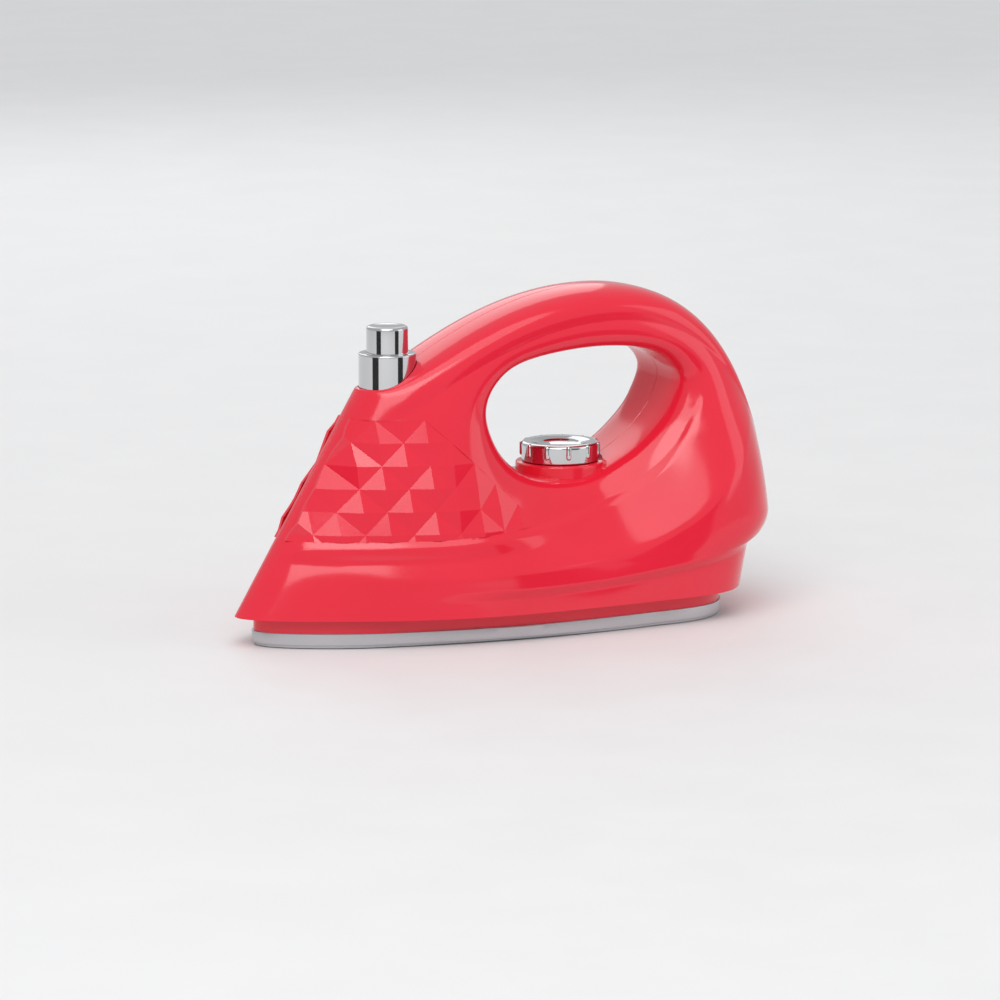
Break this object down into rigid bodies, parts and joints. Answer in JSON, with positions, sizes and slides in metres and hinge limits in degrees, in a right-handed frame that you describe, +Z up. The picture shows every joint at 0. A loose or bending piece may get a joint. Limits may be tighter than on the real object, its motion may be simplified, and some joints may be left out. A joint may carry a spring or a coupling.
{
  "type": "toy steam iron",
  "caption": "Toy steam iron: glossy red moulded body with an arched handle, sprung chrome push button, chrome rotary dial, faceted nose panels, stepped soleplate and a vibration motor inside.",
  "frame": {"origin": "centre of the bounding box's bottom face, on the table under the soleplate", "axes": "+X from the nose to the rear, +Z up, +Y to the right half of the body; Y = 0 is the seam of the two halves"},
  "size_m": [0.2, 0.0816, 0.1165],
  "materials": {
    "red_plastic": "glossy moulded red plastic",
    "chrome_plating": "bright chrome plating on plastic",
    "silver_plastic": "satin silver-grey plastic",
    "steel": "zinc-plated steel",
    "motor_steel": "drawn steel can",
    "dark_plastic": "matte black plastic",
    "cell_wrap": "dark shrink wrap",
    "brass": "turned brass",
    "switch_red": "matte red plastic",
    "lead_red": "red lead sleeve",
    "lead_blue": "blue lead sleeve",
    "lead_black": "black lead sleeve"
  },
  "bodies": {
    "body": {"left_shell": "red_plastic", "right_shell": "red_plastic", "base_pan": "red_plastic", "button_collar": "chrome_plating", "soleplate": "silver_plastic", "battery_door": "silver_plastic", "door_screw": "steel", "contact_springs": "steel", "contact_plates": "steel", "motor_clamp": "steel", "clamp_screws": "steel", "detent_spring": "steel", "button_spring": "steel", "case_screws": "steel", "base_screws": "steel", "motor_can": "motor_steel", "motor_end_cap": "dark_plastic", "switch_body": "dark_plastic", "battery_cells": "cell_wrap", "lead_supply": "lead_red", "lead_motor": "lead_blue", "lead_return": "lead_black"},
    "dial": {"dial_knob": "chrome_plating", "dial_spindle": "dark_plastic", "detent_wheel": "dark_plastic", "dial_washer": "steel", "dial_screw": "steel"},
    "button": {"push_button": "chrome_plating", "button_clip": "steel", "switch_plunger": "switch_red"},
    "rotor": {"motor_shaft": "steel", "eccentric_weight": "brass"}
  },
  "joints": [
    {"name": "dial_turn", "type": "hinge", "parent": "body", "child": "dial", "pos_m": [0.024, 0, 0.055], "axis": [0, 0, 1], "continuous": true},
    {"name": "button_press", "type": "slide", "parent": "body", "child": "button", "axis": [0, 0, -1], "range_m": [0, 0.004], "stiffness_N_per_m": 300, "springref_m": -0.003, "deforming": ["button_spring"]},
    {"name": "motor_spin", "type": "hinge", "parent": "body", "child": "rotor", "pos_m": [0.05, 0, 0.031], "axis": [1, 0, 0], "continuous": true}
  ]
}
